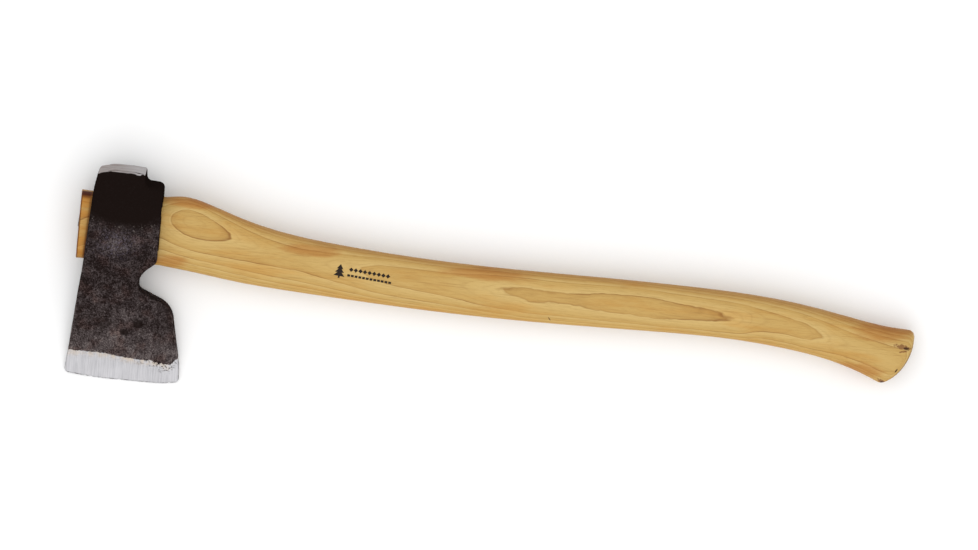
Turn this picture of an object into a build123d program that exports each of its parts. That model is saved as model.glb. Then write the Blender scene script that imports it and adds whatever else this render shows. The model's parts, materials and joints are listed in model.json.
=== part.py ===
from build123d import *
from math import cos, pi, sin
import os

# A splitting maul: a forged steel head on a curved hickory handle. The handle's tongue fills the eye of
# the head. A wooden wedge spreads the tongue, and a flat steel wedge across it locks the wooden one.
#
# Millimetres. The pieces are drawn in the tool's own frame: the origin is the middle of the eye, +X runs
# along the eye towards the knob, +Y towards the poll and Z across the cheeks, with the bit on -Y.
# At the end they are turned together until the maul lies on one cheek, on the heel of its bevel's
# shoulder and on its knob, and moved until the origin is at the bottom centre of the whole maul, +Z up.

# ---- head ----
POLL_Y = 54.0  # the striking face
EDGE_Y = -140.1  # the cutting edge, at its middle
CHEEK_HALF = 25.0  # half the thickness beside the eye, where the head is widest
CHEEK_TOP_Y = 25.0  # the cheeks are parallel from here
CHEEK_LOW_Y = -16.0  # to here
POLL_HALF = 17.5  # half the thickness of the poll
SHOULDER_Y = -119.6  # where the ground bevel starts
SHOULDER_HALF = 4.6  # half the thickness there
HOLLOW = 5.0  # how far the wedge faces are hollowed
EDGE_HALF = 0.25  # half the flat left on the cutting edge
FACE_RIM = 1.6  # chamfer round the striking face

# Corners of the head seen from its side, with the radius that rounds each of them.
HEAD_CORNERS = [
    (5, POLL_Y, 60),  # flat middle of the striking face
    (-13, POLL_Y, 25),
    (-26.9, 50.6, 3.5),
    (-29.4, 36.2, 60),  # the poll narrows into the front
    (-33, -28, 400),
    (-41.8, -137.5, 4),  # toe
    (-15, EDGE_Y, 150),
    (46.4, EDGE_Y + 0.4, 90),
    (62.2, -136.9, 4),  # heel
    (61.1, SHOULDER_Y, 100),
    (49.8, -67.9, 22),  # top of the beard
    (18.3, -54.9, 5),  # notch
    (18.2, -39.8, 20),
    (33.2, -26.7, 5),  # lower end of the eye's rear mouth
    (33.0, 41.5, 5.5),  # lug
    (16.8, 42.5, 4.5),
    (15.7, 53.1, 1.8),
]

# ---- eye and tongue ----
EYE_MOUTH_X = 35.6  # just behind the rear mouth
EYE_DEPTH = 56.4  # poll side to bit side, at the rear mouth
EYE_WIDTH = 23.5  # across the cheeks, at the rear mouth
EYE_FLARE = 3.0  # how far each side has moved out at the tongue's end
EYE_MIDDLE_Y = -0.8
EYE_WALL_FLAT = 0.4  # what the corner radius lacks of half the width
EYE_RIM = 1.2  # chamfer round the front mouth
TONGUE_END_X = -40.2

# ---- wedges ----
KERF = 1.6  # saw cut in the tongue
KERF_END_X = 12.0
WOOD_WEDGE_THICK = 6.5
WOOD_WEDGE_TIP_X = 4.0
STEEL_WEDGE_WIDE = 21.0
STEEL_WEDGE_THICK = 4.2
STEEL_WEDGE_TIP = 1.0
STEEL_WEDGE_DEEP = 28.0
STEEL_WEDGE_PROUD = 0.6
STEEL_WEDGE_TURN = 14.0  # degrees off square to the wooden wedge
STEEL_WEDGE_Y = 3.0

# ---- handle ----
OVAL_POWER = 2.3  # the section is a superellipse of this power
OVAL_POINTS = 16
# Stations along X: the top edge, the bottom edge and the width across.
STATIONS = [
    (27, 30.4, -30.6, 27.0),
    (36, 31.3, -31.6, 27.8),
    (52, 33.1, -33.2, 29.4),
    (74, 28.7, -35.6, 30.0),
    (104, 19.0, -39.3, 29.5),
    (142, 10.1, -42.2, 28.5),
    (200, 3.3, -45.1, 27.5),
    (270, -1.0, -47.7, 27.0),
    (350, -2.5, -48.7, 27.0),
    (430, -1.8, -47.5, 27.0),
    (500, -1.8, -45.7, 27.5),
    (560, -3.1, -46.0, 28.0),
    (600, -6.1, -49.0, 28.5),
    (640, -11.7, -55.0, 29.5),
    (670, -17.0, -63.3, 31.0),
    (696, -20.4, -74.2, 32.2),
    (740, -24.4, -92.0, 33.5),
]
# The knob's end is cut to a slanting arc.
KNOB_CENTRE = (666.6, -27.1)
KNOB_RADIUS = 51.8
KNOB_RIM = 5.5

# ---- where the maul touches the floor when it lies down ----
CHEEK_REST = Vector(33.1, CHEEK_LOW_Y, -CHEEK_HALF)
HEEL_REST = Vector(61.1, SHOULDER_Y, -SHOULDER_HALF)
KNOB_REST = Vector(700.76, -58.83, -15.43)


def oval(top, bottom, width):
    """Points round the handle's section, which is as deep as top to bottom and as wide as width."""
    middle = (top + bottom) / 2
    points = []
    for step in range(OVAL_POINTS):
        turn = 2 * pi * step / OVAL_POINTS
        along, across = cos(turn), sin(turn)
        along = abs(along) ** (2 / OVAL_POWER) * (1 if along > 0 else -1)
        across = abs(across) ** (2 / OVAL_POWER) * (1 if across > 0 else -1)
        points.append((middle + along * (top - bottom) / 2, across * width / 2))
    return points


# ---- the eye, as the solid that fills it: it cuts the head, and it is the tongue ----
with BuildPart() as eye_fill:
    for x, grow in ((EYE_MOUTH_X, 0), (TONGUE_END_X, EYE_FLARE)):
        with BuildSketch(Plane.YZ.offset(x)):
            with Locations((EYE_MIDDLE_Y, 0)):
                depth, width = EYE_DEPTH + 2 * grow, EYE_WIDTH + 2 * grow
                RectangleRounded(depth, width, width / 2 - EYE_WALL_FLAT)
    loft()

# ---- the head before the eye is drifted: its side outline, with the wedge profile across it ----
with BuildPart() as head_blank:
    with BuildSketch(Plane.XY.offset(-CHEEK_HALF)):
        with BuildLine():
            corners = [(x, y) for x, y, radius in HEAD_CORNERS]
            FilletPolyline(*corners, radius=[radius for x, y, radius in HEAD_CORNERS], close=True)
        make_face()
    extrude(amount=2 * CHEEK_HALF)
    with BuildSketch(Plane.YZ):
        with BuildLine():
            hollow_y = (CHEEK_LOW_Y + SHOULDER_Y) / 2
            hollow_z = (CHEEK_HALF + SHOULDER_HALF) / 2 - HOLLOW
            Polyline(
                (POLL_Y, 0),
                (POLL_Y, POLL_HALF - FACE_RIM),
                (POLL_Y - FACE_RIM, POLL_HALF),
                (CHEEK_TOP_Y, CHEEK_HALF),
                (CHEEK_LOW_Y, CHEEK_HALF),
            )
            ThreePointArc((CHEEK_LOW_Y, CHEEK_HALF), (hollow_y, hollow_z), (SHOULDER_Y, SHOULDER_HALF))
            Polyline((SHOULDER_Y, SHOULDER_HALF), (EDGE_Y, EDGE_HALF), (EDGE_Y, 0))
            mirror(about=Plane.XZ)
        make_face()
    extrude(amount=100, both=True, mode=Mode.INTERSECT)

# ---- maul_head ----
with BuildPart() as maul_head:
    add(head_blank.part)
    add(eye_fill.part, mode=Mode.SUBTRACT)
    mouths = edges(Select.LAST).filter_by(lambda edge: edge.bounding_box().size.X < EYE_DEPTH / 4)
    chamfer(mouths.filter_by_position(Axis.X, TONGUE_END_X, 0), EYE_RIM)

# ---- steel_wedge: driven across the wooden one ----
wedge_plane = Plane((TONGUE_END_X, STEEL_WEDGE_Y, 0)).rotated((STEEL_WEDGE_TURN, 0, 0))
with BuildPart() as steel_wedge:
    with BuildSketch(wedge_plane):
        with BuildLine():
            Polyline(
                (-STEEL_WEDGE_PROUD, STEEL_WEDGE_THICK / 2),
                (STEEL_WEDGE_DEEP, STEEL_WEDGE_TIP / 2),
                (STEEL_WEDGE_DEEP, -STEEL_WEDGE_TIP / 2),
                (-STEEL_WEDGE_PROUD, -STEEL_WEDGE_THICK / 2),
                close=True,
            )
        make_face()
    extrude(amount=STEEL_WEDGE_WIDE / 2, both=True)

# ---- wooden_wedge: in the kerf, over the whole depth of the tongue ----
with BuildPart() as wooden_wedge:
    add(eye_fill.part)
    with BuildSketch(Plane.XZ):
        with BuildLine():
            Polyline(
                (TONGUE_END_X, WOOD_WEDGE_THICK / 2),
                (WOOD_WEDGE_TIP_X, KERF / 2),
                (WOOD_WEDGE_TIP_X, -KERF / 2),
                (TONGUE_END_X, -WOOD_WEDGE_THICK / 2),
                close=True,
            )
        make_face()
    extrude(amount=EYE_DEPTH, both=True, mode=Mode.INTERSECT)
    add(steel_wedge.part, mode=Mode.SUBTRACT)

# ---- handle: lofted ovals, an end cut on the slant, and the tongue ----
with BuildPart() as handle:
    for x, top, bottom, width in STATIONS:
        with BuildSketch(Plane.YZ.offset(x)):
            with BuildLine():
                Spline(*oval(top, bottom, width), periodic=True)
            make_face()
    loft()
    with BuildSketch(Plane.XY):
        with BuildLine():
            knob_arc = CenterArc(KNOB_CENTRE, KNOB_RADIUS, -75, 135)
            Polyline(knob_arc @ 1, (0, 60), (0, -100), knob_arc @ 0)
        make_face()
    extrude(amount=CHEEK_HALF, both=True, mode=Mode.INTERSECT)
    fillet(faces().sort_by(Axis.X)[-1].edges(), KNOB_RIM)
    add(head_blank.part, mode=Mode.SUBTRACT)
    add(eye_fill.part)
    with BuildSketch(Plane.XZ):
        with Locations(((WOOD_WEDGE_TIP_X + KERF_END_X) / 2, 0)):
            Rectangle(KERF_END_X - WOOD_WEDGE_TIP_X, KERF)
    extrude(amount=EYE_DEPTH, both=True, mode=Mode.SUBTRACT)
    add(wooden_wedge.part, mode=Mode.SUBTRACT)
    add(steel_wedge.part, mode=Mode.SUBTRACT)

# ---- lay the maul down: the plane through its three contacts becomes the floor ----
floor_normal = (KNOB_REST - CHEEK_REST).cross(CHEEK_REST - HEEL_REST).normalized()
floor = Plane(CHEEK_REST, x_dir=(1, 0, 0), z_dir=floor_normal)
pieces = (maul_head, handle, wooden_wedge, steel_wedge)
for piece in pieces:
    piece.part.move(floor.location.inverse())
knob_end_x = KNOB_CENTRE[0] + KNOB_RADIUS - CHEEK_REST.X
middle_x = (maul_head.part.bounding_box().min.X + knob_end_x) / 2
middle_y = maul_head.part.bounding_box().center().Y
for piece in pieces:
    piece.part.move(Location((-middle_x, -middle_y, 0)))

maul_head.part.label = "maul_head"
handle.part.label = "handle"
wooden_wedge.part.label = "wooden_wedge"
steel_wedge.part.label = "steel_wedge"

os.makedirs("parts", exist_ok=True)
export_step(maul_head.part, "parts/maul_head.step")
export_step(handle.part, "parts/handle.step")
export_step(wooden_wedge.part, "parts/wooden_wedge.step")
export_step(steel_wedge.part, "parts/steel_wedge.step")
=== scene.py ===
import bmesh
import bpy
import json
import math
import numpy as np
from mathutils import Matrix, Vector, noise
from mathutils.bvhtree import BVHTree
from mathutils.geometry import delaunay_2d_cdt


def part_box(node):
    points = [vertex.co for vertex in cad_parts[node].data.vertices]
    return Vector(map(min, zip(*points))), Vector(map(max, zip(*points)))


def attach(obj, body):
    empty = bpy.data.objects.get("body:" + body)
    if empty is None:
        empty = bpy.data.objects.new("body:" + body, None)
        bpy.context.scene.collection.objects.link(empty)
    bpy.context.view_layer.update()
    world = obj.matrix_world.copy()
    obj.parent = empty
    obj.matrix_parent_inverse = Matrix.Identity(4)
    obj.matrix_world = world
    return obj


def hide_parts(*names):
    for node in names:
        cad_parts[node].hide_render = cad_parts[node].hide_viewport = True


# A splitting maul lying on its cheek. The forged head, the handle and the two wedges are meshes made over
# the CAD nodes, in the tool's own frame: origin in the middle of the eye, X along the eye towards the knob,
# Y towards the poll and Z across the cheeks. Metres, and MM for the small sizes.

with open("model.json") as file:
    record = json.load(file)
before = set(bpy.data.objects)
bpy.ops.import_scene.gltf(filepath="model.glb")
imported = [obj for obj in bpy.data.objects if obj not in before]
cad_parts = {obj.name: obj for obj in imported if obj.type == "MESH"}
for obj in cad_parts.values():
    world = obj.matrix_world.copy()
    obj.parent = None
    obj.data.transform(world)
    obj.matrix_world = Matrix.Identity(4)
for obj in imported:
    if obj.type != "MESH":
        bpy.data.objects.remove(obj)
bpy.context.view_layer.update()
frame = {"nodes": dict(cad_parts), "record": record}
scene = bpy.context.scene
MM = 0.001

# ---- the tool's frame, from the two mounts, which both lie on the plane between its sides ----
POLL_FROM_EYE = Vector((-5.0, 54.0, 0.0)) * MM
mounts = {mount["name"]: mount for mount in frame["record"]["mounts"]}
poll, grip = mounts["poll_face"], mounts["grip"]
poll_to_grip = Vector(grip["pos_m"]) - Vector(poll["pos_m"])
UP = Vector(poll["axis"]).normalized()
ALONG = (poll_to_grip - UP * poll_to_grip.dot(UP)).normalized()
ACROSS = ALONG.cross(UP)
EYE = Vector(poll["pos_m"]) - ALONG * POLL_FROM_EYE.x - UP * POLL_FROM_EYE.y
TOOL = Matrix.Translation(EYE) @ Matrix((ALONG, UP, ACROSS)).transposed().to_4x4()


# ---- camera: straight above, turned so that the handle droops to the right ----
CAMERA_HEIGHT = 8.0
CAMERA_ROLL = math.radians(5.8)
CAMERA_LENS = 325.9
CAMERA_FROM_EYE = (0.33145, -0.00975)  # along the ground, to the middle of the view


def make_camera():
    data = bpy.data.cameras.new("camera")
    data.lens = CAMERA_LENS
    camera = bpy.data.objects.new("camera", data)
    camera.location = (EYE.x + CAMERA_FROM_EYE[0], EYE.y + CAMERA_FROM_EYE[1], CAMERA_HEIGHT)
    camera.rotation_euler = (0, 0, CAMERA_ROLL)
    scene.collection.objects.link(camera)
    scene.camera = camera


# ---- reading the CAD nodes ----
def tool_mesh(*nodes):
    """The CAD nodes' surfaces as one bmesh in the tool's frame, with doubled points merged."""
    mesh = bmesh.new()
    for node in nodes:
        mesh.from_mesh(frame["nodes"][node].data)
    bmesh.ops.transform(mesh, matrix=TOOL.inverted(), verts=mesh.verts)
    bmesh.ops.remove_doubles(mesh, verts=mesh.verts, dist=0.002 * MM)
    mesh.normal_update()
    return mesh


def tool_surface(*nodes):
    mesh = tool_mesh(*nodes)
    tree = BVHTree.FromBMesh(mesh)
    mesh.free()
    return tree


# ---- making meshes and pieces ----
def new_mesh(name, vertices, faces):
    data = bpy.data.meshes.new(name)
    data.from_pydata([tuple(v) for v in vertices], [], faces)
    data.validate()
    data.update()
    return data


def finished(data, kind, **settings):
    """The mesh as one modifier leaves it."""
    piece = bpy.data.objects.new("unfinished", data)
    scene.collection.objects.link(piece)
    modifier = piece.modifiers.new(kind, kind)
    for name, value in settings.items():
        setattr(modifier, name, value)
    graph = bpy.context.evaluated_depsgraph_get()
    result = bpy.data.meshes.new_from_object(piece.evaluated_get(graph))
    bpy.data.objects.remove(piece)
    return result


def cut_away(data, *cutters):
    """The mesh with each cutter's mesh taken out of it."""
    for cutter in cutters:
        tool = bpy.data.objects.new("cutter", cutter)
        scene.collection.objects.link(tool)
        data = finished(data, "BOOLEAN", operation="DIFFERENCE", solver="EXACT", object=tool)
        bpy.data.objects.remove(tool)
    return data


def mended(data, weld=0.0, relief=None):
    """The mesh with points nearer than weld merged and its faces turned outwards.

    Then relief(point), if given, moves each point outwards."""
    body = bmesh.new()
    body.from_mesh(data)
    if weld:
        bmesh.ops.remove_doubles(body, verts=body.verts, dist=weld)
    bmesh.ops.recalc_face_normals(body, faces=body.faces)
    if relief:
        body.normal_update()
        for vertex in body.verts:
            vertex.co += vertex.normal * relief(vertex.co)
    body.to_mesh(data)
    body.free()
    return data


def place_piece(name, data, node, material):
    """A finished piece that stands for a CAD node; its mesh comes in the tool's frame."""
    data.name = name
    data.shade_smooth()
    data.transform(TOOL)
    piece = bpy.data.objects.new(name, data)
    scene.collection.objects.link(piece)
    data.materials.clear()
    data.materials.append(material)
    bpy.context.view_layer.update()
    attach(piece, "root")
    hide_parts(node)
    return piece


def fbm(point, scale, octaves, seed):
    """Smooth noise between about -1 and 1 at a point in metres; scale is the size of its largest lumps."""
    place = Vector(point) / scale + Vector((seed, seed * 1.7, -seed * 0.6))
    return noise.fractal(place, 1.0, 2.0, octaves)


def smoothstep(low, high, value):
    t = np.clip((value - low) / (high - low), 0.0, 1.0)
    return t * t * (3 - 2 * t)


# ---- rings round the eye and the handle ----
AROUND = 96
REACH = 0.2  # rays start this far outside
EYE_MIDDLE_Y = -0.8 * MM
EYE_FRONT_X = -38 * MM
EYE_REAR_X = 25 * MM


def turns():
    return [2 * math.pi * i / AROUND for i in range(AROUND)]


def ray(turn):
    return Vector((0, math.cos(turn), math.sin(turn)))


def hit_toward(surface, outside, centre):
    place = surface.ray_cast(outside, (centre - outside).normalized())[0]
    return place if place else centre


def section(surface, centre):
    """The ring of points where rays towards the centre, square to X, meet the surface."""
    return [hit_toward(surface, centre + ray(turn) * REACH, centre) for turn in turns()]


def eye_rings(surface, places, spare):
    """Rings of the eye's tapering section at each x of places, made wider by spare on every side.

    A place is a number, or a function of y that gives x, and spare has a number for each place."""
    front = section(surface, Vector((EYE_FRONT_X, EYE_MIDDLE_Y, 0)))
    rear = section(surface, Vector((EYE_REAR_X, EYE_MIDDLE_Y, 0)))
    rings = []
    for place, more in zip(places, spare):
        ring = []
        for a, b, turn in zip(front, rear, turns()):
            x = place(a.y) if callable(place) else place
            point = a.lerp(b, (x - EYE_FRONT_X) / (EYE_REAR_X - EYE_FRONT_X))
            ring.append(point + ray(turn) * more)
        rings.append(ring)
    return rings


def bridge(rings, base=0):
    """Faces between rings of points that are numbered from base, one ring after the other."""
    faces = []
    for r in range(len(rings) - 1):
        a, b = base + r * AROUND, base + (r + 1) * AROUND
        faces += [(a + i, a + (i + 1) % AROUND, b + (i + 1) % AROUND, b + i) for i in range(AROUND)]
    return faces


def fan(start, tip):
    """Faces from a ring, whose points are numbered from start, to the point numbered tip."""
    return [(start + i, start + (i + 1) % AROUND, tip) for i in range(AROUND)]


def capped_tube(rings):
    vertices = [point for ring in rings for point in ring]
    last = (len(rings) - 1) * AROUND
    caps = [tuple(reversed(range(AROUND))), tuple(range(last, last + AROUND))]
    return mended(new_mesh("tube", vertices, bridge(rings) + caps))


# ---- maul_head ----
OUTLINE_STEP = 1.1 * MM
GRID_STEP = 1.3 * MM
WALL_ROWS = 26
HEAD_WELD = 0.06 * MM
STEEP = 0.3  # a wall's normal rises less than this, and a cheek's more than FLAT
FLAT = 0.5
RIM_STEPS = (0.12, 0.3, 0.55, 0.8, 1.0)  # rows of points inside the rim, in parts of its rounding
RIM_ROUND = 0.15 * MM  # the least rounding, and how much the head's thickness adds to it
RIM_ROUND_PART = 0.15
RIM_SAMPLE_IN = 0.4 * MM  # the thickness at the rim is read this far inside the outline
ROW_LEAST = 0.97  # a row's point nearer to the outline than this part of its depth is dropped
GRID_CLEAR = 0.5 * GRID_STEP  # between the innermost row and the grid
SHARP_FROM_Y = 47 * MM  # near the striking face the rim is almost square
SHARP_TO_Y = 51.5 * MM
SHARPER = 0.85
LEAST_HALF = 0.02 * MM  # half the thickness of the cutting edge
ABOVE = 60 * MM  # the head's thickness is read by rays down from this height
NICKED_BELOW_Y = -130 * MM
# Nicks in the cutting edge: where along X, how wide and how deep, in millimetres.
NICKS = (
    (-22.5, 1.3, 0.45),
    (-17.5, 1.8, 0.6),
    (-12.0, 1.0, 0.4),
    (-8.5, 0.8, 0.35),
    (8.5, 1.2, 0.5),
    (31.0, 0.9, 0.25),
    (53.6, 1.0, 0.55),
)
FACE_CHIP = (Vector((9.1, 53.4, 16.1)) * MM, 2.6 * MM, 0.9 * MM)  # its place, radius and depth
FACE_Y = (52.3 * MM, 53.2 * MM)  # where the forged skin gives way to the ground striking face
BEVEL_Y = (-121.1 * MM, -116.6 * MM)  # and to the ground bevel
FORGED_SWELL = (0.28 * MM, 26 * MM)  # height and length of the hammer's broad waves, and of its lumps
FORGED_LUMPS = (0.12 * MM, 8 * MM)
FORGED_DROP = 0.1 * MM  # keeps the uneven skin inside the CAD solid on the whole
EYE_CLEARANCE = 0.08 * MM
# The eye's rounded mouth: how far in from the head's front, and how much wider there, in millimetres.
EYE_MOUTH = ((-4, 1.9), (-0.3, 1.5), (0.3, 0.8), (0.9, 0.3), (1.8, 0))
EYE_CUT_END_X = 45 * MM
FRONT_SAMPLES_Y = (-20 * MM, 30 * MM)  # two heights at which the head's straight front is read,
FRONT_SAMPLES_Z = 20 * MM  # beside the eye


def head_outline():
    """The head's outline seen from its side, as an evenly spaced closed loop of (x, y)."""
    mesh = tool_mesh("maul_head")
    joined = {}
    for edge in mesh.edges:
        if len(edge.link_faces) != 2 or min(v.co.z for v in edge.verts) <= 0:
            continue
        cheek, wall = sorted((abs(face.normal.z) for face in edge.link_faces), reverse=True)
        if wall < STEEP and cheek > FLAT:
            a, b = edge.verts
            joined.setdefault(a, []).append(b)
            joined.setdefault(b, []).append(a)
    loops = []
    left = set(joined)
    for start in joined:
        if start not in left:
            continue
        loop = []
        onward = [start]
        while onward:
            loop.append(onward[0])
            left.discard(onward[0])
            onward = [v for v in joined[loop[-1]] if v in left]
        loops.append(loop)
    points = np.array([v.co.xy for v in max(loops, key=len)])
    mesh.free()
    return resample(points, OUTLINE_STEP)


def resample(points, step):
    """Evenly spaced points on a closed loop, turning anticlockwise."""
    closed = np.vstack([points, points[:1]])
    lengths = np.r_[0, np.cumsum(np.linalg.norm(np.diff(closed, axis=0), axis=1))]
    count = int(lengths[-1] / step)
    at = np.linspace(0, lengths[-1], count, endpoint=False)
    loop = np.c_[np.interp(at, lengths, closed[:, 0]), np.interp(at, lengths, closed[:, 1])]
    area = np.sum(loop[:, 0] * np.roll(loop[:, 1], -1) - np.roll(loop[:, 0], -1) * loop[:, 1])
    return loop if area > 0 else loop[::-1]


def nicked(loop):
    """The outline with nicks in its cutting edge."""
    low = loop[:, 1] < NICKED_BELOW_Y
    for x, width, depth in NICKS:
        loop[:, 1] += np.exp(-(((loop[:, 0] - x * MM) / (width * MM)) ** 2)) * low * depth * MM
    return loop


def outline_normals(loop):
    along = np.roll(loop, -1, axis=0) - np.roll(loop, 1, axis=0)
    normal = np.c_[along[:, 1], -along[:, 0]]
    return normal / np.linalg.norm(normal, axis=1)[:, None]


def rolling_mean(values, width):
    """Each value of a closed loop averaged with its neighbours, width of them in all."""
    reach = width // 2
    wrapped = np.r_[values[-reach:], values, values[:reach]]
    return np.convolve(wrapped, np.ones(width) / width, "valid")


def distance_to_loop(points, loop):
    """Distance of each point to the nearest stretch of a closed loop."""
    best = np.full(len(points), np.inf)
    for start, span in zip(loop, np.roll(loop, -1, axis=0) - loop):
        away = points - start
        t = np.clip(away @ span / (span @ span), 0, 1)
        best = np.minimum(best, np.linalg.norm(away - t[:, None] * span, axis=1))
    return best


def nearest_on_loop(points, loop):
    """The number of the loop's nearest point, for each point."""
    return np.array([np.argmin(np.sum((loop - point) ** 2, axis=1)) for point in points])


def inside_loop(points, loop):
    x, y = points[:, 0], points[:, 1]
    inside = np.zeros(len(points), bool)
    for (x1, y1), (x2, y2) in zip(loop, np.roll(loop, -1, axis=0)):
        crosses = (y1 > y) != (y2 > y)
        with np.errstate(divide="ignore", invalid="ignore"):
            inside ^= crosses & (x < (x2 - x1) * (y - y1) / (y2 - y1) + x1)
    return inside


def head_half(surface, x, y):
    """Half the CAD head's thickness at (x, y)."""
    hit = surface.ray_cast(Vector((x, y, ABOVE)), Vector((0, 0, -1)))[0]
    return hit.z if hit else 0.0


def side_points(loop, rounding):
    """Points over the head's side: the outline, rows along its rounded rim, and an even grid inside."""
    normals = outline_normals(loop)
    rows = [loop]
    for part in RIM_STEPS:
        row = loop - normals * (rounding * part)[:, None]
        rows.append(row[distance_to_loop(row, loop) > rounding * part * ROW_LEAST])
    low, high = loop.min(0), loop.max(0)
    across = np.arange(low[0], high[0], GRID_STEP)
    upward = np.arange(low[1], high[1], GRID_STEP * math.sqrt(3) / 2)
    grid = np.array([(x + (row % 2) * GRID_STEP / 2, y) for row, y in enumerate(upward) for x in across])
    grid = grid[inside_loop(grid, loop)]
    clear = distance_to_loop(grid, loop) > rounding[nearest_on_loop(grid, loop)] + GRID_CLEAR
    return np.vstack(rows + [grid[clear]])


def half_heights(flat, loop, surface, rim_half, rounding):
    """Half the head's thickness at each point, rounded over towards the outline."""
    count = len(loop)
    away = distance_to_loop(flat, loop)
    away[:count] = 0
    nearest = nearest_on_loop(flat, loop)
    half = np.array([head_half(surface, x, y) for x, y in flat])
    half[half <= 0] = rim_half[nearest[half <= 0]]
    half[:count] = rim_half
    ease = rounding[nearest]
    inward = np.clip(ease - away, 0, None)
    height = half - ease + np.sqrt(np.clip(ease**2 - inward**2, 0, None))
    return np.maximum(height, LEAST_HALF)


def head_skin(flat, height, triangles, ring):
    """Points and faces of both sides, and of the wall between them, which follows the outline's ring."""
    total, count = len(flat), len(ring)
    vertices = [Vector((x, y, z)) for (x, y), z in zip(flat, height)]
    vertices += [Vector((x, y, -z)) for (x, y), z in zip(flat, height)]
    faces = [tuple(t) for t in triangles]
    faces += [tuple(total + i for i in reversed(t)) for t in triangles]
    previous = list(range(count))
    for row in range(1, WALL_ROWS + 1):
        if row == WALL_ROWS:
            current = [total + i for i in range(count)]
        else:
            current = list(range(len(vertices), len(vertices) + count))
            part = 1 - 2 * row / WALL_ROWS
            vertices += [Vector((x, y, h * part)) for (x, y), h in zip(flat[:count], height[:count])]
        faces += [(previous[i], current[i], current[j], previous[j]) for i, j in ring]
        previous = current
    return vertices, faces


def make_head(material):
    """Both sides meshed from the outline, with the CAD head's thickness, and the eye cut out."""
    surface = tool_surface("maul_head", "handle", "wooden_wedge", "steel_wedge")
    loop = nicked(head_outline())
    inner = loop - outline_normals(loop) * RIM_SAMPLE_IN
    rim_half = rolling_mean(np.array([head_half(surface, x, y) for x, y in inner]), 5)
    sharp = smoothstep(SHARP_FROM_Y, SHARP_TO_Y, loop[:, 1])
    rounding = rolling_mean((RIM_ROUND + RIM_ROUND_PART * rim_half) * (1 - SHARPER * sharp), 7)
    ring = [(i, (i + 1) % len(loop)) for i in range(len(loop))]
    flat = [Vector(point) for point in side_points(loop, rounding)]
    points, _, triangles, _, _, _ = delaunay_2d_cdt(flat, ring, [], 1, 1e-7)
    flat = np.array(points)
    height = half_heights(flat, loop, surface, rim_half, rounding)
    data = new_mesh("maul_head", *head_skin(flat, height, triangles, ring))
    data = cut_away(mended(data, HEAD_WELD, forging), eye_cutter())
    return place_piece("forged_head", data, "maul_head", material)


def eye_cutter():
    """The eye with a little room round the tongue, and a rounded rim where it opens at the front."""
    head = tool_surface("maul_head")
    tongue = tool_surface("handle", "wooden_wedge", "steel_wedge")
    low_y, high_y = FRONT_SAMPLES_Y
    starts = [Vector((-REACH, y, FRONT_SAMPLES_Z)) for y in FRONT_SAMPLES_Y]
    low_x, high_x = [head.ray_cast(start, Vector((1, 0, 0)))[0].x for start in starts]

    def from_front(inward):
        """The x of a line so far inside the head's front, as a function of y."""
        return lambda y: low_x + (high_x - low_x) * (y - low_y) / (high_y - low_y) + inward

    places = [from_front(inward * MM) for inward, _ in EYE_MOUTH] + [EYE_REAR_X, EYE_CUT_END_X]
    spare = [wider * MM + EYE_CLEARANCE for _, wider in EYE_MOUTH] + [EYE_CLEARANCE] * 2
    return capped_tube(eye_rings(tongue, places, spare))


def forging(co):
    """How far the hammer left the surface out or in at a point of the head, in metres."""
    forged = min(float(smoothstep(*BEVEL_Y, co.y)), 1 - float(smoothstep(*FACE_Y, co.y)))
    swell = sum(
        high * fbm(co, long, 2, seed)
        for (high, long), seed in ((FORGED_SWELL, 3.0), (FORGED_LUMPS, 9.0))
    )
    place, radius, depth = FACE_CHIP
    chip = depth * math.exp(-((co - place).length / radius) ** 2)
    return (swell - FORGED_DROP) * forged - chip


# ---- handle ----
BODY_STATIONS = 430
TONGUE_STATIONS = 40
POLAR_STEPS = 26
KNOB_INSIDE = 30 * MM  # how far inside the knob its polar rings are centred
KNOB_LEAN = math.radians(-27)  # the knob's end faces this way
KNOB_END = ALONG * math.cos(KNOB_LEAN) + UP * math.sin(KNOB_LEAN)
TONGUE_BACK = 0.05 * MM  # the tongue ends this far inside the CAD tongue
TONGUE_ROUND = 0.35 * MM
TONGUE_END_PARTS = (0.85, 0.6, 0.35, 0.12)  # sizes of the rings that close its end
SHOULDER_X = 35.5 * MM  # the body's section just behind the head
SHOULDER_LEAST_X = 26.6 * MM  # how far the body reaches forward under the eye
SHOULDER_GAP = 0.12 * MM
SHOULDER_IN = 0.97  # the head's rear is read this far out on the section
# The shoulder's rounded rim: how far back from the head, and the part of the section's size there.
SHOULDER_ROUND = ((0, 0.985), (0.25 * MM, 0.996), (0.8 * MM, 1.0))
BODY_START_X = SHOULDER_X + 0.5 * MM
HANDLE_WELD = 0.005 * MM
SLOT_ROOM = 0.06 * MM
SLOT_OPEN = 2 * MM  # the slots run this far out of the tongue's end


def tongue_rings(surface, tongue_x):
    """The tongue, from its end, whose rim is a little rounded, to the rear of the eye."""
    places = np.linspace(tongue_x, EYE_REAR_X, TONGUE_STATIONS)
    rings = eye_rings(surface, places, [0] * TONGUE_STATIONS)
    middle = Vector((0, EYE_MIDDLE_Y, 0))
    rim = [p + (middle - Vector((0, p.y, p.z))).normalized() * TONGUE_ROUND for p in rings[0]]
    rings[0] = [Vector((p.x + TONGUE_ROUND, p.y, p.z)) for p in rings[0]]
    return [rim] + rings


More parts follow.
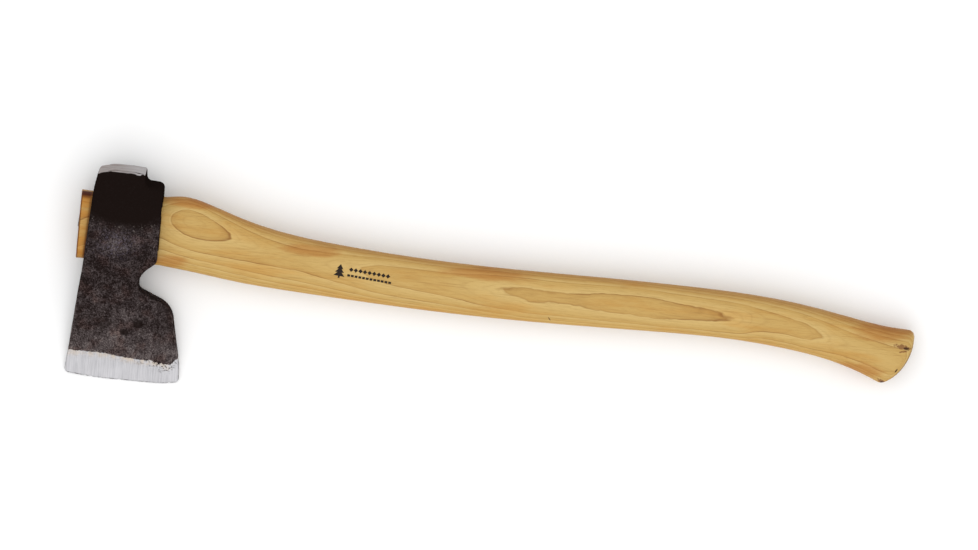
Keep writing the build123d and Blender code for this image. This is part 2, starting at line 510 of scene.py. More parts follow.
def shoulder_rings(body, last):
    """From the tongue's last ring out to the body's section, along the rear of the head."""
    head = tool_surface("maul_head")
    touch = []
    for point in body:
        start = Vector((REACH, point.y * SHOULDER_IN, point.z * SHOULDER_IN))
        hit = head.ray_cast(start, Vector((-1, 0, 0)))[0]
        touch.append(max(hit.x if hit else 0, SHOULDER_LEAST_X) + SHOULDER_GAP)
    rings = [[Vector((x, p.y, p.z)) for x, p in zip(touch, last)]]
    for back, size in SHOULDER_ROUND:
        rings.append([Vector((x + back, p.y * size, p.z * size)) for x, p in zip(touch, body)])
    return rings


def body_centre(surface, x):
    """The point halfway between the body's upper and lower edge."""
    middle = Vector((x, 0, 0))
    top, bottom = (hit_toward(surface, Vector((x, y, 0)), middle).y for y in (REACH, -REACH))
    return Vector((x, (top + bottom) / 2, 0))


def knob_rings(surface, centre):
    """Rings over the knob that close on its end, and the point where they meet."""
    end = Vector((math.cos(KNOB_LEAN), math.sin(KNOB_LEAN), 0))
    rings = []
    for step in range(1, POLAR_STEPS):
        lean = math.pi / 2 * (step / POLAR_STEPS)
        aims = [(ray(turn) * math.cos(lean) + end * math.sin(lean)).normalized() for turn in turns()]
        rings.append([hit_toward(surface, centre + aim * REACH, centre) for aim in aims])
    return rings, hit_toward(surface, centre + end * REACH, centre)


def make_handle(material):
    surface = tool_surface("handle", "wooden_wedge", "steel_wedge")
    tongue_x, knob_x = ((TOOL.inverted() @ corner).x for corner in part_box("handle"))
    rings = tongue_rings(surface, tongue_x + TONGUE_BACK)
    rings += shoulder_rings(section(surface, Vector((SHOULDER_X, 0, 0))), rings[-1])
    for x in np.linspace(BODY_START_X, knob_x - KNOB_INSIDE, BODY_STATIONS):
        centre = body_centre(surface, x)
        rings.append(section(surface, centre))
    knob, tip = knob_rings(surface, centre)
    rings += knob
    vertices = [point for ring in rings for point in ring] + [tip]
    faces = bridge(rings) + fan((len(rings) - 1) * AROUND, len(vertices) - 1)
    # the tongue's end, in rings that close on its middle
    middle = sum(rings[0], Vector()) / AROUND
    lid = [[middle + (p - middle) * part for p in rings[0]] for part in (1.0, *TONGUE_END_PARTS)]
    base = len(vertices)
    vertices += [point for ring in lid for point in ring] + [middle]
    lid_faces = bridge(lid, base) + fan(base + (len(lid) - 1) * AROUND, len(vertices) - 1)
    faces += [tuple(reversed(face)) for face in lid_faces]
    data = mended(new_mesh("handle", vertices, faces), HANDLE_WELD)
    data = cut_away(data, slot_cutter("wooden_wedge"), slot_cutter("steel_wedge"))
    return place_piece("hickory_handle", data, "handle", material)


def slot_cutter(node):
    """A wedge's own shape, a little larger and open at the tongue's end."""
    body = tool_mesh(node)
    end = min(vertex.co.x for vertex in body.verts)
    for vertex in body.verts:
        vertex.co += vertex.normal * SLOT_ROOM
        if vertex.co.x < end + MM:
            vertex.co.x -= SLOT_OPEN
    data = bpy.data.meshes.new("slot")
    body.to_mesh(data)
    body.free()
    return data


# ---- the wedges ----
DRIVEN_LENGTH = 2.2 * MM  # how far the hammer's marks reach from a wedge's driven end


def make_wedge(name, node, material, voxel, proud, spread, dents):
    """A wedge remade from its CAD solid, with its driven end standing proud, spread and dented."""
    body = tool_mesh(node)
    data = bpy.data.meshes.new(name)
    body.to_mesh(data)
    body.free()
    data = finished(data, "REMESH", mode="VOXEL", voxel_size=voxel)
    data = finished(data, "SMOOTH", factor=0.5, iterations=3)
    end = min(vertex.co.x for vertex in data.vertices)
    driven = [vertex.co for vertex in data.vertices if vertex.co.x < end + voxel]
    middle = sum(driven, Vector()) / len(driven)
    for vertex in data.vertices:
        near = float(smoothstep(end + DRIVEN_LENGTH, end, vertex.co.x))
        off = vertex.co - middle
        vertex.co.x -= near * (proud + dents * fbm(vertex.co, 2.5 * MM, 3, 7.0))
        vertex.co.y += off.y * spread * near * near
        vertex.co.z += off.z * spread * near * near
        vertex.co.z += dents * 0.3 * near * fbm(vertex.co, 1.5 * MM, 2, 4.0)
    return place_piece(name, data, node, material)


# ---- materials ----
class Graph:
    """A material's nodes, built by short calls. Places are in the tool's frame, in millimetres."""

    def __init__(self, name):
        self.material = bpy.data.materials.new(name)
        self.material.use_nodes = True
        self.tree = self.material.node_tree
        self.shader = self.tree.nodes["Principled BSDF"]
        texture = self.node("TexCoord")
        mapping = self.node("Mapping")
        mapping.vector_type = "TEXTURE"
        mapping.inputs["Location"].default_value = EYE
        mapping.inputs["Rotation"].default_value = TOOL.to_euler()
        mapping.inputs["Scale"].default_value = (MM, MM, MM)
        self.join(texture.outputs["Object"], mapping.inputs["Vector"])
        self.place = mapping.outputs["Vector"]
        split = self.node("SeparateXYZ")
        self.join(self.place, split.inputs[0])
        self.x, self.y, self.z = split.outputs

    def node(self, kind):
        return self.tree.nodes.new("ShaderNode" + kind)

    def join(self, value, socket):
        if hasattr(value, "links"):
            self.tree.links.new(value, socket)
        elif isinstance(value, tuple) and len(value) == 3 and len(socket.default_value) == 4:
            socket.default_value = (*value, 1)
        else:
            socket.default_value = value

    def math(self, operation, a, b=0.0):
        node = self.node("Math")
        node.operation = operation
        self.join(a, node.inputs[0])
        self.join(b, node.inputs[1])
        return node.outputs[0]

    def sub(self, a, b):
        return self.math("SUBTRACT", a, b)

    def fold(self, operation, values):
        result = values[0]
        for value in values[1:]:
            result = self.math(operation, result, value)
        return result

    def add(self, *values):
        return self.fold("ADD", values)

    def mul(self, *values):
        return self.fold("MULTIPLY", values)

    def least(self, *values):
        return self.fold("MINIMUM", values)

    def most(self, *values):
        return self.fold("MAXIMUM", values)

    def step(self, value, low, high, out_low=0.0, out_high=1.0):
        """Goes smoothly from out_low to out_high as value goes from low to high."""
        node = self.node("MapRange")
        node.interpolation_type = "SMOOTHSTEP"
        for socket, number in zip(node.inputs[1:5], (low, high, out_low, out_high)):
            self.join(number, socket)
        self.join(value, node.inputs[0])
        return node.outputs[0]

    def stretch(self, scale):
        """The place, divided by a size in millimetres along each axis."""
        node = self.node("VectorMath")
        node.operation = "DIVIDE"
        self.join(self.place, node.inputs[0])
        node.inputs[1].default_value = scale
        return node.outputs[0]

    def noise(self, size, detail, roughness=0.5, seed=0.0):
        """Noise from 0 to 1 whose lumps are size millimetres, one number or one for each axis."""
        size = (size, size, size) if isinstance(size, (int, float)) else size
        node = self.node("TexNoise")
        node.noise_dimensions = "4D"
        node.inputs["W"].default_value = seed
        self.join(self.stretch(size), node.inputs["Vector"])
        node.inputs["Scale"].default_value = 1.0
        node.inputs["Detail"].default_value = detail
        node.inputs["Roughness"].default_value = roughness
        return node.outputs[0]

    def waver(self, size, detail, roughness=0.5, seed=0.0):
        """The same noise, from -0.5 to 0.5."""
        return self.sub(self.noise(size, detail, roughness, seed), 0.5)

    def facing(self, direction):
        """How far the surface faces a direction, from -1 to 1."""
        node = self.node("VectorMath")
        node.operation = "DOT_PRODUCT"
        self.join(self.node("NewGeometry").outputs["Normal"], node.inputs[0])
        node.inputs[1].default_value = direction
        return node.outputs["Value"]

    def bump_at(self, value, middle, width):
        """A smooth hump of height 1 round the middle."""
        away = self.mul(self.sub(value, middle), 1.0 / width)
        return self.math("EXPONENT", self.mul(self.mul(away, away), -1.0))

    def mix(self, part, a, b, blend="MIX"):
        node = self.node("Mix")
        node.data_type = "RGBA"
        node.blend_type = blend
        self.join(part, node.inputs[0])
        self.join(a, node.inputs[6])
        self.join(b, node.inputs[7])
        return node.outputs[2]

    def tint(self, part, tone, colour):
        """The tone, multiplied by a colour where part is 1."""
        return self.mix(part, tone, self.mix(1.0, tone, colour, "MULTIPLY"))

    def ramp(self, value, *stops):
        """A colour for each value: stops are (value, colour)."""
        node = self.node("ValToRGB")
        elements = node.color_ramp.elements
        elements[0].position, elements[1].position = stops[0][0], stops[-1][0]
        elements[0].color, elements[1].color = (*stops[0][1], 1), (*stops[-1][1], 1)
        for position, colour in stops[1:-1]:
            elements.new(position).color = (*colour, 1)
        self.join(value, node.inputs[0])
        return node.outputs[0]

    def finish(self, color, roughness, height, depth, metallic=0.0, specular=0.5):
        """Sets the shader: height is in parts of depth, which is in metres."""
        bump = self.node("Bump")
        bump.inputs["Strength"].default_value = 1.0
        bump.inputs["Distance"].default_value = depth
        self.join(height, bump.inputs["Height"])
        self.join(bump.outputs[0], self.shader.inputs["Normal"])
        self.join(color, self.shader.inputs["Base Color"])
        self.join(roughness, self.shader.inputs["Roughness"])
        self.join(metallic, self.shader.inputs["Metallic"])
        self.shader.inputs["Specular IOR Level"].default_value = specular
        return self.material


# ---- hickory ----
RING = 2.6  # millimetres between growth rings
# Where the rings lie along the handle: X, how far they rise there, and how much they lean across it.
# Their crests make the closed oval behind the head and the pointed arches along the side.
RING_COURSE = (
    (-45, -1.5, 0.10),
    (33, -2.2, 0.15),
    (43, -1.93, 0.165),
    (62, -1.30, 0.167),
    (97, -0.93, 0.165),
    (148, -0.37, 0.134),
    (179, 0.66, 0.134),
    (210, 2.0, 0.13),
    (253, 3.5, 0.125),
    (302, 4.0, 0.11),
    (350, 4.85, 0.09),
    (400, 4.2, 0.052),
    (452, 4.6, 0.053),
    (504, 3.2, 0.01),
    (555, 2.2, 0.0),
    (584, 1.7, 0.048),
    (636, -1.1, 0.0),
    (660, -2.6, 0.0),
    (686, -3.4, 0.0),
    (730, -4.3, 0.0),
)
RING_LEVEL = 13.6
RINGS_UP = 50  # added to ring numbers, so that they are above 0
# How dark the line between two rings is, at each part of the way from one to the next.
RING_LINE = ((0.0, 1.0), (0.016, 0.9), (0.045, 0.35), (0.12, 0.0), (0.965, 0.0), (1.0, 1.0))
QUIET_X = (228, 34)  # middle and half width of the place round the mark where the lines are faint
QUIET_Y = (-16, 13)
WOOD_PALE = (0.555, 0.385, 0.143)
WOOD_BODY = (0.490, 0.316, 0.101)
WOOD_TAN = (0.485, 0.302, 0.092)
WOOD_LINE = (0.245, 0.118, 0.030)
WOOD_ORANGE = (0.93, 0.72, 0.45)
WOOD_CHAR = (0.016, 0.009, 0.006)
KNOT_BROWN = (0.17, 0.060, 0.020)
KNOT_DARK = (0.040, 0.014, 0.006)
# Colours that the wood's own colour is multiplied by; some are painted light and painted shade, as marked.
RED_TINT = (0.80, 0.55, 0.38)
# painted light on the handle's side toward the bit
LOWER_SIDE_LIGHT_TINT = (1.0, 0.80, 0.42)
# painted shade on the handle's side toward the poll
UPPER_SIDE_SHADE_TINT = (0.68, 0.51, 0.38)
TONGUE_TINT = (1.0, 0.73, 0.46)
# painted shade on the tongue's top
TONGUE_TOP_SHADE_TINT = (0.50, 0.27, 0.16)
# painted shade: where the tongue enters the eye, on its end and rim, and round the knob's end
PAINTED_SHADE_TINT = (0.26, 0.15, 0.10)
TONGUE_X = (-27, -33)  # the tongue's colours start here
# Where the painted shade on the tongue and the knob lies.
TONGUE_TOP_Y = (26.2, 28.0)
TONGUE_LOW_Y = -28.0
TONGUE_RIM_X = (-38.5, -39.3)
MOUTH_X = -32.9  # the eye's mouth on the tongue, at its lower edge
MOUTH_LEAN = 0.045
KNOB_X = (650, 670)
# Marks on the upper side: X, Y, half their length and height, their turn and how ragged they are.
KNOTS = (
    (712.0, -35.6, 2.8, 1.5, -0.12, 0.7),
    (704.8, -56.5, 0.8, 2.0, -0.5, 0.35),
    (693.6, -69.8, 2.0, 1.3, -0.5, 0.35),
    (389.5, -42.5, 2.0, 0.45, -0.9, 0.35),
)
BROWN_STREAKS = (
    (708.5, -34.6, 7.5, 1.9, -0.10, 1.0),
    (709.5, -38.6, 4.5, 0.8, 0.25, 0.9),
    (693.0, -69.0, 4.0, 2.2, -0.5, 0.8),
)
# Reddish-brown patches: X, Y, and half their length and height.
RED_PATCHES = (
    (170, -2, 26, 5),
    (44, -25, 17, 6),
    (60, 29, 24, 4),
    (330, -8, 40, 5),
    (690, -24, 26, 8),
    (672, -60, 22, 7),
)


def course(g, column):
    """A smooth curve along X through one column of RING_COURSE."""
    places = [row[0] for row in RING_COURSE]
    values = [row[column] for row in RING_COURSE]
    first, span = places[0], places[-1] - places[0]
    least, most = min(values), max(values)
    node = g.node("FloatCurve")
    points = node.mapping.curves[0].points
    while len(points) < len(places):
        points.new(0.5, 0.5)
    for point, x, value in zip(points, places, values):
        point.location = ((x - first) / span, (value - least) / (most - least))
    node.mapping.update()
    g.join(g.mul(g.sub(g.x, first), 1 / span), node.inputs["Value"])
    return g.add(g.mul(node.outputs[0], most - least), least)


def wood_rings(g):
    """The growth rings' number at each place; its fraction runs from one ring to the next."""
    wave = g.mul(g.waver((60, 16, 16), 2, seed=1), 0.3)
    ripple = g.mul(g.waver((14, 3.5, 3.5), 3, 0.6, seed=2), 0.13)
    level = g.add(g.z, course(g, 1), g.mul(course(g, 2), g.y), wave, ripple)
    return g.mul(g.sub(level, RING_LEVEL), 1 / RING)


def seen_from(g, x, y, turn):
    """How far the place is from (x, y), along a line at this turn and to its left."""
    c, s = math.cos(turn), math.sin(turn)
    right, up = g.sub(g.x, x), g.sub(g.y, y)
    return g.add(g.mul(right, c), g.mul(up, s)), g.sub(g.mul(up, c), g.mul(right, s))


def oval(g, x, y, long, high, turn=0.0):
    """0 at (x, y), growing to 1 on an ellipse with these half sizes and on beyond it."""
    u, v = seen_from(g, x, y, turn)
    u, v = g.mul(u, 1 / long), g.mul(v, 1 / high)
    return g.add(g.mul(u, u), g.mul(v, v))


def upper_side(g):
    """1 on the side that faces up, for marks that are only there."""
    return g.step(g.z, 2, 5)


def spot(g, x, y, long, high, turn, ragged):
    """A mark on the upper side: 1 inside, fading to 0 round it."""
    away = g.add(oval(g, x, y, long, high, turn), g.mul(g.waver(1.6, 3, seed=x), ragged * 4))
    return g.mul(g.step(away, 1.25, 0.45), upper_side(g))


MARK_PLACE = (218.0, -18.6)
MARK_TURN = math.radians(-4.6)
TREE_U = -20.5  # the conifer's middle along the mark
BOUGHS = ((5.8, 1.6, 2.9), (3.2, -1.6, 4.0), (0.4, -5.0, 5.0))  # top, bottom and half width
TRUNK = (TREE_U, -5.6, 0.8, 1.2)  # its middle, half width and half height
DIAMOND_ROW = (2.5, -12.6, 25.2, 4.2)  # height, start, end and pitch
DIAMOND_HALF = 1.95
DASH_ROW = (-3.0, -13.6, 27.2, 3.4)
DASH_HALF = (1.25, 1.0)
ROW_HIGH = 5.0  # more than half the height of anything in a row


def burnt_mark(g):
    """A burnt pictogram: a small conifer, a row of diamonds and a row of dashes."""
    fray = g.mul(g.waver(0.7, 2, seed=5), 0.7)
    u, v = [g.add(place, fray) for place in seen_from(g, *MARK_PLACE, MARK_TURN)]

    def apart(value, middle):
        return g.math("ABSOLUTE", g.sub(value, middle))

    # every shape is above 0 inside
    def box(middle_u, middle_v, half_u, half_v):
        return g.least(g.sub(half_u, apart(u, middle_u)), g.sub(half_v, apart(v, middle_v)))

    def bough(top, bottom, half):
        slope = g.mul(g.sub(top, v), half / (top - bottom))
        return g.least(g.sub(slope, apart(u, TREE_U)), g.sub(v, bottom))

    def row(shape, middle_v, first, last, pitch):
        along = g.math("MODULO", g.add(u, 100 * pitch), pitch)
        inside = box((first + last) / 2, middle_v, (last - first) / 2, ROW_HIGH)
        return g.least(inside, shape(apart(along, pitch / 2), apart(v, middle_v)))

    def diamond(across, upward):
        return g.sub(DIAMOND_HALF, g.add(across, upward))

    def dash(across, upward):
        return g.least(g.sub(DASH_HALF[0], across), g.sub(DASH_HALF[1], upward))

    tree = [bough(*sizes) for sizes in BOUGHS] + [box(*TRUNK)]
    shape = g.most(*tree, row(diamond, *DIAMOND_ROW), row(dash, *DASH_ROW))
    return g.mul(g.step(shape, -0.22, 0.16), upper_side(g))


def ring_tones(g, rings, ring):
    """The wood's colour from ring to ring, and how dark the line between two rings is."""
    strong = g.step(g.noise((110, 9, 9), 2, seed=8), 0.36, 0.60, 0.35, 1.0)
    quiet = g.mul(g.bump_at(g.x, *QUIET_X), g.bump_at(g.y, *QUIET_Y))
    strong = g.mul(strong, g.sub(1.0, g.mul(quiet, 0.85)))
    early = g.ramp(ring, (0.0, WOOD_TAN), (0.35, WOOD_BODY), (0.95, WOOD_PALE), (1.0, WOOD_PALE))
    line = g.ramp(ring, *[(place, (dark, dark, dark)) for place, dark in RING_LINE])
    tone = g.mix(g.mul(line, strong, 0.95), early, WOOD_LINE)
    faint = g.math("FRACT", g.add(g.mul(rings, 4.0), RINGS_UP))
    return g.mix(g.mul(g.bump_at(faint, 0.5, 0.10), 0.13), tone, WOOD_LINE), line


def long_grain(g, tone, ring):
    """The tone with warm clouds, streaks, fibres and pores; the streaks, and the relief of all."""
    cloud = g.noise((75, 14, 14), 3, 0.55, seed=3)
    tone = g.tint(g.step(cloud, 0.46, 0.70, 0.0, 0.55), tone, WOOD_ORANGE)
    streak = g.noise((34, 1.3, 1.3), 4, 0.62, seed=4)
    tone = g.mix(g.step(streak, 0.50, 0.72, 0.0, 0.34), tone, WOOD_LINE)
    tone = g.mix(g.step(streak, 0.46, 0.30, 0.0, 0.35), tone, WOOD_PALE)
    fibre = g.noise((9, 0.5, 0.5), 3, 0.7, seed=9)
    tone = g.mix(g.step(fibre, 0.5, 0.75, 0.0, 0.42), tone, WOOD_LINE)
    tone = g.mix(g.step(fibre, 0.47, 0.25, 0.0, 0.30), tone, WOOD_PALE)
    pores = g.mul(g.step(g.noise((4.5, 0.2, 0.2), 1, seed=6), 0.64, 0.76), g.step(ring, 0.5, 0.05))
    tone = g.mix(g.mul(pores, 0.4), tone, WOOD_LINE)
    relief = g.sub(g.add(g.mul(streak, 0.5), g.mul(fibre, 0.35)), g.mul(pores, 0.5))
    return tone, streak, relief


def redness(g):
    """1 in the ragged reddish-brown patches."""
    ragged = g.mul(g.waver((20, 4, 4), 3, seed=12), 2.2)
    return g.most(*[g.step(g.add(oval(g, *patch), ragged), 1.6, 0.1) for patch in RED_PATCHES])


def red_patches_and_side_light(g, tone):
    """The tone, redder in patches, with painted light (golden) on the side toward the bit and painted shade
    (brown) on the side toward the poll.
    """
    tone = g.tint(g.mul(redness(g), 0.75), tone, RED_TINT)
    # painted light: the side toward the bit is made golden
    tone = g.tint(g.mul(g.step(g.facing(-UP), 0.35, 0.95), 0.45), tone, LOWER_SIDE_LIGHT_TINT)
    # painted shade: the side toward the poll is made browner
    return g.tint(g.mul(g.step(g.facing(UP), 0.5, 0.95), 0.75), tone, UPPER_SIDE_SHADE_TINT)


def tongue_bands_and_shading(g, tone):
    """The tone with the tongue's bands, and painted shade on the tongue's top, end and end rim, where it
    enters the eye, and round the knob's end.
    """
    tongue = g.step(g.x, *TONGUE_X)
    bands = g.step(g.noise((60, 5.5, 9), 3, 0.6, seed=10), 0.38, 0.62, 0.35, 1.0)
    tone = g.tint(g.mul(tongue, bands), tone, TONGUE_TINT)
    # painted shade along the tongue's top
    tone = g.tint(g.mul(tongue, g.step(g.y, *TONGUE_TOP_Y)), tone, TONGUE_TOP_SHADE_TINT)
    # painted shadow where the tongue goes into the eye
    mouth = g.add(MOUTH_X, g.mul(g.sub(g.y, TONGUE_LOW_Y), MOUTH_LEAN))
    mouth_shadow = g.mul(tongue, g.step(g.sub(g.x, mouth), -2.6, -0.2, 0.0, 0.85))
    # painted shade on faces turned toward the tongue's end, and on the tongue's top
    end = g.most(g.step(g.facing(-ALONG), 0.35, 0.7), g.mul(tongue, g.step(g.facing(UP), 0.55, 0.8)))
    # painted shade along the rim of the tongue's end
    rim = g.step(g.x, *TONGUE_RIM_X, 0.0, 0.85)
    # painted shade round the knob's end
    knob_rim_shade = g.mul(g.step(g.facing(KNOB_END), 0.62, 0.92), g.step(g.x, *KNOB_X))
    dark = g.most(g.mul(end, 0.8), mouth_shadow, rim, g.mul(knob_rim_shade, 0.6))
    # all of it is painted shade, laid on in one dark brown
    return g.tint(dark, tone, PAINTED_SHADE_TINT)


def hickory():
    g = Graph("hickory")
    rings = wood_rings(g)
    ring = g.math("FRACT", g.add(rings, RINGS_UP))
    tone, line = ring_tones(g, rings, ring)
    tone, streak, relief = long_grain(g, tone, ring)
    # real reddish patches and tongue bands, with painted light and painted shade on the handle's sides and
    # ends
    tone = tongue_bands_and_shading(g, red_patches_and_side_light(g, tone))
    for marks, part, colour in ((BROWN_STREAKS, 0.8, KNOT_BROWN), (KNOTS, 0.9, KNOT_DARK)):
        tone = g.mix(g.mul(g.most(*[spot(g, *mark) for mark in marks]), part), tone, colour)
    burn = burnt_mark(g)
    tone = g.mix(burn, tone, WOOD_CHAR)
    roughness = g.add(g.mul(streak, 0.16), 0.40)
    relief = g.sub(relief, g.add(g.mul(line, 0.15), g.mul(burn, 1.8)))
    return g.finish(tone, roughness, relief, 0.11 * MM, specular=0.12)


# ---- forged steel ----
SCALE_BLACK = (0.0090, 0.0056, 0.0048)
SCALE_DARK = (0.018, 0.0125, 0.0120)
SCALE_GREY = (0.075, 0.060, 0.060)
SCALE_LIGHT = (0.26, 0.225, 0.21)
SCALE_MAUVE = (0.155, 0.135, 0.185)
STEEL_BRIGHT = (0.475, 0.469, 0.484)
STEEL_STREAK = (0.27, 0.265, 0.285)
STEEL_CREAM = (0.47, 0.39, 0.31)
STEEL_WHITE = (0.56, 0.555, 0.575)
POLL_GREY = (0.22, 0.178, 0.168)
POLL_LIGHT = (0.38, 0.35, 0.34)
RUST_TINT = (0.95, 0.70, 0.62)
ARC_MIDDLE_X = 1  # the black scale's lower edge is an arc: its lowest point, and its bend
ARC_LOW_Y = 4.4
ARC_BEND = 0.0085
BLOTS = ((21, -86, 5.5, 4.6, 0.0, 0.6), (9.5, -95, 4.5, 3.4, 0.0, 0.6))  # as KNOTS
# The bit's outline, from the head's front along the cutting edge to the heel's back.
BIT_OUTLINE = ((-33, -28), (-41.8, -137.5), (-16, -140), (44.6, -140), (62.2, -136.9), (61.1, -119.6))


def bevel_line(g, ragged, wander, heel):
    """The y of the ragged line between the bevel and the scale, along X."""
    return g.add(
        g.step(g.x, -8, 14, -116.2, -118.7),
        g.step(g.x, 30, 51, 0.0, -2.8),
        g.step(g.x, 52.5, 61, 0.0, 8.0),
        g.mul(wander, 2.0),
        g.mul(ragged, g.add(3.4, g.mul(heel, 8.0))),
    )


def mottled_scale(g, speckle, grain, mottle):
    """The grey scale between the eye and the bevel, with its bluish bloom and rust."""
    ashy = g.mul(g.bump_at(g.y, -10, 13), g.bump_at(g.x, -4, 17))
    light = g.add(
        -0.235,
        g.mul(speckle, 1.05),
        g.mul(grain, 0.30),
        g.mul(mottle, 0.34),
        g.mul(ashy, 0.045),
        g.mul(g.bump_at(g.y, -12, 32), -0.035),
        g.step(g.y, -26, -48, 0.0, -0.035),
        g.step(g.y, -48, -82, 0.0, 0.02),
        g.step(g.y, -82, -117, 0.0, 0.075),
    )
    scale = g.ramp(light, (0.49, SCALE_BLACK), (0.57, SCALE_DARK), (0.69, SCALE_GREY), (0.92, SCALE_LIGHT))
    bloom = g.mul(ashy, g.step(g.noise(1.7, 4, 0.8, seed=24), 0.50, 0.62))
    scale = g.mix(g.mul(bloom, 0.50), scale, SCALE_MAUVE)
    rust = g.step(g.noise(13, 3, 0.5, seed=25), 0.48, 0.66)
    return g.tint(g.mul(rust, 0.55), scale, RUST_TINT)


def worn_scale(g, scale, speckle, edge, upper):
    """The scale with the black part beside the eye, flakes along its edge, blots and worn corners."""
    black = g.mix(g.step(speckle, 0.50, 0.78), SCALE_BLACK, SCALE_DARK)
    scale = g.mix(upper, scale, black)
    flake = g.mul(g.bump_at(edge, -1.5, 1.8), g.step(g.noise(2.2, 2, seed=26), 0.6, 0.7))
    scale = g.mix(g.mul(flake, 0.7), scale, SCALE_LIGHT)
    blots = g.most(*[spot(g, *blot) for blot in BLOTS])
    scale = g.mix(g.mul(blots, 0.9), scale, SCALE_BLACK)
    turned = g.math("ABSOLUTE", g.facing(ALONG))
    broken = g.step(g.noise(5, 3, 0.7, seed=28), 0.4, 0.62)
    worn = g.mul(g.bump_at(turned, 0.42, 0.24), g.step(g.y, -62, -95), broken)
    return g.mix(g.mul(worn, 0.6), scale, SCALE_LIGHT)


def inside_bit(g):
    """How far a point is inside BIT_OUTLINE, seen from the side."""
    lefts = []
    for (x1, y1), (x2, y2) in zip(BIT_OUTLINE, BIT_OUTLINE[1:]):
        _, left = seen_from(g, x1, y1, math.atan2(y2 - y1, x2 - x1))
        lefts.append(left)
    return g.least(*lefts)


def bevel_steel(g, line, scratch):
    """The bare steel of the bevel: scratches square to the edge, stains, smears and a dark dashed rim."""
    bright = g.mix(g.step(scratch, 0.38, 0.72, 0, 0.8), STEEL_BRIGHT, STEEL_STREAK)
    patchy = g.noise((17, 30, 17), 3, 0.45, seed=32)
    bright = g.mix(g.step(patchy, 0.40, 0.64, 0, 0.35), bright, STEEL_WHITE)
    under = g.sub(line, g.y)
    stain = g.mul(g.step(g.noise(6, 4, 0.6, seed=17), 0.42, 0.6), g.step(under, 7.0, 0.5))
    bright = g.mix(g.mul(stain, 0.75), bright, STEEL_CREAM)
    smear = g.mul(g.step(g.noise((2.2, 9, 4), 3, 0.6, seed=33), 0.52, 0.68), g.step(under, 13, 1))
    bright = g.mix(g.mul(smear, 0.4), bright, STEEL_STREAK)
    dashes = g.step(g.noise(5.5, 2, 0.6, seed=34), 0.50, 0.60, 0.30, 1.0)
    return g.mix(g.mul(g.step(inside_bit(g), 1.0, 0.35), g.mul(dashes, 0.9)), bright, SCALE_DARK)


def face_steel(g):
    """The striking face, rubbed in streaks and brighter toward the handle."""
    rubbed = g.step(g.noise((16, 2.2, 1.1), 4, 0.65, seed=27), 0.36, 0.66)
    dull = g.mix(rubbed, POLL_GREY, POLL_LIGHT)
    return g.mix(g.step(g.x, -12, 14, 0.0, 0.45), dull, STEEL_BRIGHT)


def forged_steel():
    g = Graph("forged_steel")
    ragged = g.waver(2.6, 4, 0.65, seed=11)
    wander = g.waver(24, 2, seed=19)
    speckle = g.noise(1.25, 5, 0.82, seed=13)
    grain = g.noise(3.4, 3, 0.6, seed=23)
    mottle = g.noise(15, 4, 0.6, seed=14)
    scratch = g.noise((0.5, 30, 12), 4, 0.65, seed=15)
    fine = g.noise((0.16, 12, 5), 2, seed=16)
    # where the scale was ground away: the bevel and the striking face
    heel = g.step(g.x, 15, 50)
    line = bevel_line(g, ragged, wander, heel)
    bevel = g.step(g.sub(line, g.y), -0.3, 0.3)
    facing = g.add(g.facing(UP), g.mul(ragged, 0.15))
    face = g.mul(g.step(facing, 0.50, 0.58), g.step(g.y, 45, 47))
    ground = g.most(bevel, face)
    # the scale is black above an arc beside the eye
    off = g.sub(g.x, ARC_MIDDLE_X)
    arc = g.add(ARC_LOW_Y, g.mul(off, off, ARC_BEND))
    edge = g.add(g.sub(g.y, arc), g.mul(wander, 6), g.mul(ragged, 10))
    upper = g.step(edge, -9, 6)
    scale = worn_scale(g, mottled_scale(g, speckle, grain, mottle), speckle, edge, upper)
    bright = g.mix(face, bevel_steel(g, line, scratch), face_steel(g))
    # pits on both sides of the bevel's line, most of them at the heel
    near_line = g.bump_at(g.sub(g.y, line), -1.0, 5.0)
    pits = g.step(g.noise(1.7, 3, 0.6, seed=18), 0.54, 0.62)
    pits = g.least(g.mul(pits, near_line, g.add(0.15, heel)), 1.0)
    color = g.mix(pits, g.mix(ground, scale, bright), SCALE_BLACK)
    forged = g.sub(1.0, ground)
    rough = g.mul(g.add(g.mul(speckle, 0.22), 0.46), forged)
    rough = g.add(rough, g.mul(ground, g.add(0.30, g.mul(scratch, 0.16))))
    skin = g.add(speckle, g.mul(grain, 0.8), g.mul(mottle, 1.4))
    skin = g.mul(skin, g.sub(1.0, g.mul(upper, 0.55)))
    relief = g.add(g.mul(forged, skin), g.mul(ground, g.add(1.2, g.mul(fine, 0.1))))
    relief = g.sub(relief, g.mul(pits, 1.2))
    return g.finish(color, rough, relief, 0.32 * MM, g.mul(ground, 0.4), specular=0.0)


# ---- the wedges' materials, and the floor's ----
WEDGE_BROWN = (0.34, 0.17, 0.055)
WEDGE_TAN = (0.52, 0.30, 0.11)
WEDGE_PORE = (0.12, 0.05, 0.02)
WEDGE_GREY = (0.10, 0.095, 0.09)
WEDGE_LIGHT = (0.36, 0.35, 0.34)
FLOOR_PALE = (0.93, 0.93, 0.93)
FLOOR_SHADE = (0.8, 0.8, 0.8)


def wedge_wood():
    g = Graph("wedge_wood")
    streak = g.noise((20, 0.6, 0.6), 3, 0.6, seed=21)
    pores = g.step(g.noise((3, 0.3, 0.3), 1, seed=22), 0.6, 0.75)
    tone = g.ramp(streak, (0.3, WEDGE_BROWN), (0.7, WEDGE_TAN))
    tone = g.mix(g.mul(pores, 0.5), tone, WEDGE_PORE)
    return g.finish(tone, 0.6, g.add(streak, pores), 0.1 * MM, specular=0.3)


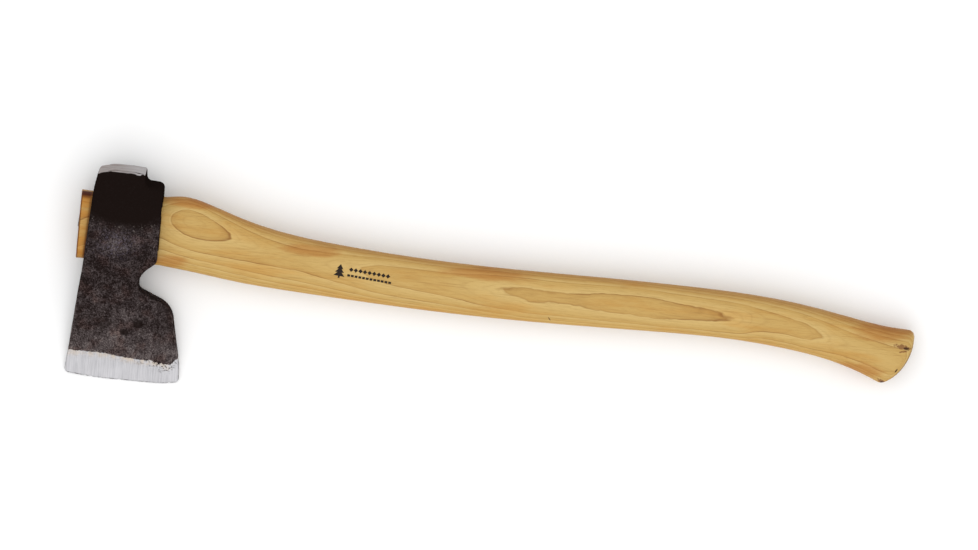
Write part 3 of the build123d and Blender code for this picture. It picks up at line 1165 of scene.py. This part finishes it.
def wedge_steel():
    g = Graph("wedge_steel")
    dents = g.noise(1.4, 3, 0.6, seed=31)
    tone = g.ramp(dents, (0.35, WEDGE_GREY), (0.6, WEDGE_LIGHT))
    return g.finish(tone, g.add(0.3, g.mul(dents, 0.3)), dents, 0.25 * MM, 0.8)


def pale_floor():
    g = Graph("pale_floor")
    grain = g.noise(40, 3, seed=41)
    g.join(g.mix(g.mul(grain, 0.04), FLOOR_PALE, FLOOR_SHADE), g.shader.inputs["Base Color"])
    g.shader.inputs["Roughness"].default_value = 0.9
    return g.material


# ---- the floor and the studio's light ----
FLOOR_HALF = 6.0
FLOOR_DROP = 0.0005
WORLD_STRENGTH = 0.95
# Square lamps that face the origin: place, side and power.
LAMPS = {
    "key": ((0.1, -1.4, 2.1), 2.4, 18),
    "fill": ((-0.1, 0.5, 2.6), 2.5, 8),
}


def make_floor():
    corners = [(x * FLOOR_HALF, y * FLOOR_HALF, 0) for x, y in ((-1, -1), (1, -1), (1, 1), (-1, 1))]
    data = new_mesh("floor", corners, [(0, 1, 2, 3)])
    floor = bpy.data.objects.new("floor", data)
    floor.location.z = -FLOOR_DROP
    scene.collection.objects.link(floor)
    data.materials.append(pale_floor())


def make_lights():
    world = bpy.data.worlds.new("studio")
    world.use_nodes = True
    background = world.node_tree.nodes["Background"]
    background.inputs["Color"].default_value = (1, 1, 1, 1)
    background.inputs["Strength"].default_value = WORLD_STRENGTH
    scene.world = world
    for name, (place, side, power) in LAMPS.items():
        light = bpy.data.lights.new(name, "AREA")
        light.size = side
        light.energy = power
        lamp = bpy.data.objects.new(name, light)
        lamp.location = place
        lamp.rotation_euler = (-Vector(place)).to_track_quat("-Z", "Y").to_euler()
        scene.collection.objects.link(lamp)


make_camera()
make_floor()
make_lights()
make_head(forged_steel())
make_handle(hickory())
make_wedge(
    "driven_wedge", "wooden_wedge", wedge_wood(),
    voxel=0.55 * MM, proud=0.35 * MM, spread=0.0, dents=0.25 * MM,
)
make_wedge(
    "locking_wedge", "steel_wedge", wedge_steel(),
    voxel=0.35 * MM, proud=0.3 * MM, spread=0.04, dents=0.15 * MM,
)
scene.view_settings.view_transform = "Standard"
